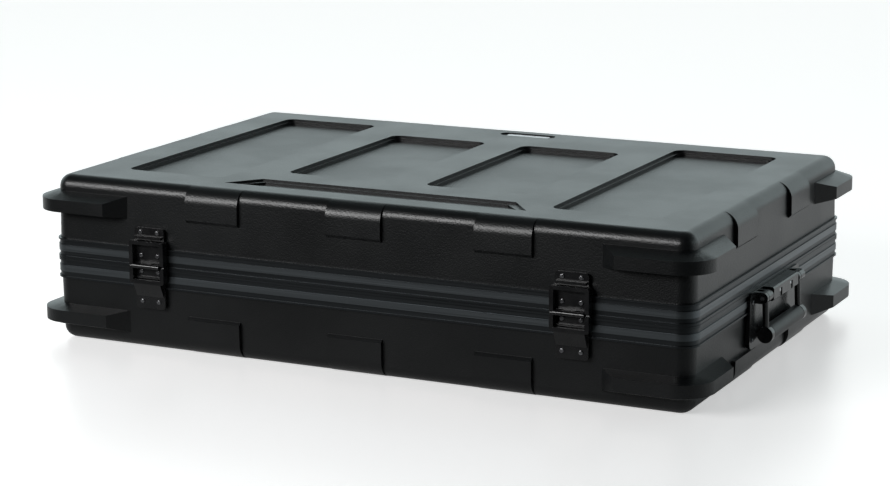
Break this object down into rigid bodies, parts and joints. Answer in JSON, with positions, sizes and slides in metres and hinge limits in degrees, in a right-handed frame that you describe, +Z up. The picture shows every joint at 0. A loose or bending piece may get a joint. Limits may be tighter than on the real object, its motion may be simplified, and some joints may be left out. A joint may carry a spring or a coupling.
{
  "type": "mixer case",
  "caption": "Low rectangular moulded transit case with a hinged lid, ribbed rim frames, corner bumpers, latches and sprung side handles, lined with foam.",
  "frame": {"origin": "centre of the footprint on the floor, under the middle of the case", "axes": "+X along the long side, +Y towards the latch side and away from the hinges, +Z up"},
  "size_m": [0.8638, 0.561, 0.201],
  "materials": {
    "moulded_shell": "black pebbled thermoformed polyethylene, semi-gloss",
    "rim_aluminium": "dark grey anodised extrusion, satin",
    "black_hardware": "black powder-coated pressed steel, satin",
    "steel_pins": "dark steel",
    "rivets": "black domed rivet, glossy",
    "lock_chrome": "bright plated key cylinder",
    "grip_rubber": "black moulded grip",
    "seal_rubber": "black rim seal",
    "plate_plastic": "pale blank plate",
    "foam": "charcoal open-cell foam"
  },
  "bodies": {
    "base": {"base_shell": "moulded_shell", "base_rim_frame": "rim_aluminium", "rim_seal": "seal_rubber", "floor_foam": "foam", "wall_foam": "foam", "hinge_base_leaf_left": "black_hardware", "hinge_pin_left": "steel_pins", "latch_lock_plate_left": "black_hardware", "handle_plate_left": "black_hardware", "handle_rod_left": "steel_pins", "handle_springs_left": "steel_pins", "handle_rivets_left": "rivets", "hinge_base_leaf_right": "black_hardware", "hinge_pin_right": "steel_pins", "latch_lock_plate_right": "black_hardware", "handle_plate_right": "black_hardware", "handle_rod_right": "steel_pins", "handle_springs_right": "steel_pins", "handle_rivets_right": "rivets", "hinge_base_rivets": "rivets", "latch_base_rivets": "rivets"},
    "lid": {"lid_shell": "moulded_shell", "lid_rim_frame": "rim_aluminium", "name_plate": "plate_plastic", "lid_foam": "foam", "hinge_lid_leaf_left": "black_hardware", "hinge_lid_leaf_right": "black_hardware", "hinge_lid_rivets": "rivets", "latch_keeper_left": "black_hardware", "latch_keeper_right": "black_hardware", "latch_pin_left": "steel_pins", "latch_pin_right": "steel_pins", "latch_lid_rivets": "rivets"},
    "hasp_left": {"latch_hasp_left": "black_hardware"},
    "hasp_right": {"latch_hasp_right": "black_hardware"},
    "key_left": {"key_cylinder_left": "lock_chrome"},
    "key_right": {"key_cylinder_right": "lock_chrome"},
    "handle_left": {"handle_bail_left": "black_hardware", "handle_grip_left": "grip_rubber"},
    "handle_right": {"handle_bail_right": "black_hardware", "handle_grip_right": "grip_rubber"}
  },
  "joints": [
    {"name": "lid_hinge", "type": "hinge", "parent": "base", "child": "lid", "pos_m": [0, -0.274, 0.104], "axis": [1, 0, 0], "range_deg": [0, 100]},
    {"name": "hasp_left_hinge", "type": "hinge", "parent": "lid", "child": "hasp_left", "pos_m": [-0.27, 0.27, 0.127], "axis": [1, 0, 0], "range_deg": [0, 110]},
    {"name": "key_left_turn", "type": "hinge", "parent": "base", "child": "key_left", "pos_m": [-0.27, 0.27, 0.062], "axis": [0, 1, 0], "range_deg": [0, 90]},
    {"name": "handle_left_swing", "type": "hinge", "parent": "base", "child": "handle_left", "pos_m": [-0.4204, 0, 0.091], "axis": [0, 1, 0], "range_deg": [0, 95], "stiffness_Nm_per_rad": 0.12, "springref_deg": -22.92},
    {"name": "hasp_right_hinge", "type": "hinge", "parent": "lid", "child": "hasp_right", "pos_m": [0.27, 0.27, 0.127], "axis": [1, 0, 0], "range_deg": [0, 110]},
    {"name": "key_right_turn", "type": "hinge", "parent": "base", "child": "key_right", "pos_m": [0.27, 0.27, 0.062], "axis": [0, 1, 0], "range_deg": [0, 90]},
    {"name": "handle_right_swing", "type": "hinge", "parent": "base", "child": "handle_right", "pos_m": [0.4204, 0, 0.091], "axis": [0, -1, 0], "range_deg": [0, 95], "stiffness_Nm_per_rad": 0.12, "springref_deg": -22.92}
  ]
}
